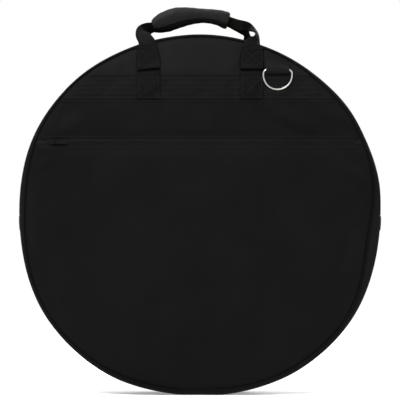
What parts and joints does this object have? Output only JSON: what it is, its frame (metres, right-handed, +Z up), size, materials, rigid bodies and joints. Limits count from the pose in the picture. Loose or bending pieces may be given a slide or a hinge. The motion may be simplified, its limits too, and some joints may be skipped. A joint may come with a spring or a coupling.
{
  "type": "cymbal bag",
  "caption": "Round padded cymbal bag whose zipped upper front folds open, with a flat zipped pocket, a webbing band, carry loops with a padded grip, and D-rings.",
  "frame": {"origin": "middle of the flat at the bottom of the gusset that the bag stands on", "axes": "+Z up through the grip, +Y from the front with the pocket towards the back panel, +X to the right as seen from the front"},
  "size_m": [0.603, 0.0922, 0.6414],
  "materials": {
    "nylon": "matt black woven nylon",
    "foam": "grey foam padding",
    "lining": "black brushed lining",
    "webbing": "black woven webbing",
    "zip_tape": "black woven zip tape",
    "zip_coil": "black nylon coil",
    "grip_cloth": "smooth dark grip cloth",
    "slider_metal": "black enamelled zinc",
    "nickel": "bright nickel plate"
  },
  "bodies": {
    "shell": {"back_panel_cloth": "nylon", "back_panel_foam": "foam", "back_panel_lining": "lining", "front_lower_cloth": "nylon", "front_lower_foam": "foam", "front_lower_lining": "lining", "gusset_lower_cloth": "nylon", "gusset_lower_foam": "foam", "gusset_lower_lining": "lining", "piping_back": "nylon", "piping_front_lower": "nylon", "gusset_strip_back": "nylon", "zip_tape_back": "zip_tape", "zip_coil_back": "zip_coil", "zip_end_tab_left": "webbing", "zip_end_tab_right": "webbing", "back_anchor_left": "webbing", "back_anchor_right": "webbing", "back_ring_tab": "webbing", "pocket_face_lower": "nylon"},
    "lid": {"front_upper_cloth": "nylon", "front_upper_foam": "foam", "front_upper_lining": "lining", "piping_front_upper": "nylon", "gusset_strip_front": "nylon", "zip_tape_front": "zip_tape", "zip_coil_front": "zip_coil", "pocket_header": "nylon", "pocket_face_upper": "nylon", "pocket_tape_upper": "zip_tape", "pocket_tape_lower": "zip_tape", "pocket_coil_upper": "zip_coil", "pocket_coil_lower": "zip_coil", "webbing_band": "webbing", "strap_patch_left": "webbing", "strap_patch_right": "webbing", "front_anchor_left": "webbing", "front_anchor_right": "webbing", "front_ring_tab": "webbing"},
    "front_handle": {"front_handle_loop": "webbing", "handle_grip": "grip_cloth"},
    "back_handle": {"back_handle_loop": "webbing"},
    "front_ring": {"front_ring": "nickel"},
    "back_ring": {"back_ring": "nickel"},
    "left_slider": {"left_slider": "slider_metal"},
    "right_slider": {"right_slider": "slider_metal"},
    "left_pull": {"left_pull": "slider_metal"},
    "right_pull": {"right_pull": "slider_metal"},
    "pocket_slider": {"pocket_slider": "slider_metal"},
    "pocket_pull": {"pocket_pull": "slider_metal"}
  },
  "joints": [
    {"name": "lid_fold", "type": "hinge", "parent": "shell", "child": "lid", "pos_m": [0, -0.0406, 0.29743], "axis": [1, 0, 0], "range_deg": [0, 150]},
    {"name": "front_handle_fold", "type": "hinge", "parent": "lid", "child": "front_handle", "pos_m": [0, -0.0415, 0.57673], "axis": [1, 0, 0], "range_deg": [0, 170]},
    {"name": "back_handle_fold", "type": "hinge", "parent": "shell", "child": "back_handle", "pos_m": [0, 0.0415, 0.57673], "axis": [-1, 0, 0], "range_deg": [0, 170]},
    {"name": "left_slider_run", "type": "hinge", "parent": "lid", "child": "left_slider", "pos_m": [0, 0, 0.29743], "axis": [0, -1, 0], "range_deg": [0, 83]},
    {"name": "right_slider_run", "type": "hinge", "parent": "lid", "child": "right_slider", "pos_m": [0, 0, 0.29743], "axis": [0, 1, 0], "range_deg": [0, 83]},
    {"name": "left_pull_tip", "type": "hinge", "parent": "left_slider", "child": "left_pull", "pos_m": [-0.00706, 0, 0.59765], "axis": [0, 1, 0], "range_deg": [0, 38]},
    {"name": "right_pull_tip", "type": "hinge", "parent": "right_slider", "child": "right_pull", "pos_m": [0.00706, 0, 0.59765], "axis": [0, -1, 0], "range_deg": [0, 38]},
    {"name": "pocket_slider_run", "type": "slide", "parent": "lid", "child": "pocket_slider", "axis": [1, 0, 0], "range_m": [0, 0.475]},
    {"name": "pocket_pull_swing", "type": "hinge", "parent": "pocket_slider", "child": "pocket_pull", "pos_m": [-0.24252, -0.0437, 0.41963], "axis": [0, 0, -1], "range_deg": [0, 150]},
    {"name": "front_ring_swing", "type": "hinge", "parent": "lid", "child": "front_ring", "pos_m": [0.13095, -0.04225, 0.53823], "axis": [-1, 0, 0], "range_deg": [0, 150]},
    {"name": "back_ring_swing", "type": "hinge", "parent": "shell", "child": "back_ring", "pos_m": [-0.13095, 0.04225, 0.53823], "axis": [1, 0, 0], "range_deg": [0, 150]}
  ]
}
